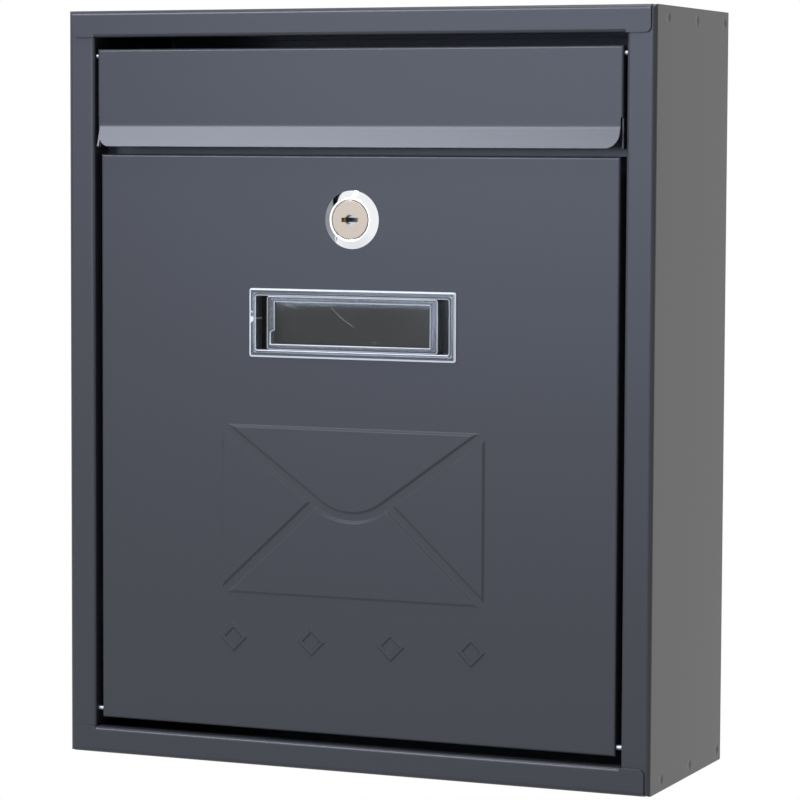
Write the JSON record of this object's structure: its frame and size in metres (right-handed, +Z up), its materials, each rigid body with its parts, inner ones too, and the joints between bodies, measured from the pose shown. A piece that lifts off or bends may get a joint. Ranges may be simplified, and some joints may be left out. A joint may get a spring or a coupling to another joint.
{
  "type": "wall mailbox",
  "caption": "Wall mailbox in folded sheet steel, with a letter flap at the top, a drop-down door with a cam lock, a clear name holder and a pressed envelope sign.",
  "frame": {"origin": "on the wall plane, at the centre of the four wall screw holes", "axes": "+X to the right as seen from the front, +Y into the wall, +Z up"},
  "size_m": [0.262, 0.0984, 0.316],
  "materials": {
    "powder_coat_body": "fine textured anthracite powder coat",
    "powder_coat_top": "fine textured anthracite powder coat",
    "powder_coat_bottom": "fine textured anthracite powder coat",
    "powder_coat_rail": "fine textured anthracite powder coat",
    "powder_coat_flap": "fine textured anthracite powder coat",
    "powder_coat_door": "fine textured anthracite powder coat",
    "pin_zinc": "zinc-plated steel",
    "lock_chrome": "polished chrome plate",
    "plug_zinc": "cast zinc",
    "cap_satin": "satin nickel",
    "wafer_brass": "stamped brass",
    "lock_zinc": "zinc-plated steel",
    "cam_zinc": "zinc-plated steel",
    "holder_clear": "clear moulded acrylic",
    "cover_clear": "clear moulded acrylic"
  },
  "bodies": {
    "body": {"body_wrap": "powder_coat_body", "top_panel": "powder_coat_top", "bottom_panel": "powder_coat_bottom", "letter_rail": "powder_coat_rail"},
    "flap": {"flap": "powder_coat_flap", "flap_pin_left": "pin_zinc", "flap_pin_right": "pin_zinc"},
    "door": {"door": "powder_coat_door", "door_pin_left": "pin_zinc", "door_pin_right": "pin_zinc", "lock_body": "lock_chrome", "lock_washer": "lock_zinc", "lock_nut": "lock_zinc", "name_holder": "holder_clear", "name_cover": "cover_clear"},
    "lock": {"lock_plug": "plug_zinc", "plug_cap": "cap_satin", "lock_wafers": "wafer_brass", "lock_cam": "cam_zinc", "cam_washer": "cam_zinc", "cam_screw": "cam_zinc"}
  },
  "joints": [
    {"name": "flap_hinge", "type": "hinge", "parent": "body", "child": "flap", "pos_m": [0, -0.0931, 0.139], "axis": [-1, 0, 0], "range_deg": [0, 136]},
    {"name": "door_hinge", "type": "hinge", "parent": "body", "child": "door", "pos_m": [0, -0.0923, -0.1393], "axis": [1, 0, 0], "range_deg": [0, 134]},
    {"name": "lock_turn", "type": "hinge", "parent": "door", "child": "lock", "pos_m": [0, -0.0948, 0.0714], "axis": [0, -1, 0], "range_deg": [0, 90]}
  ]
}
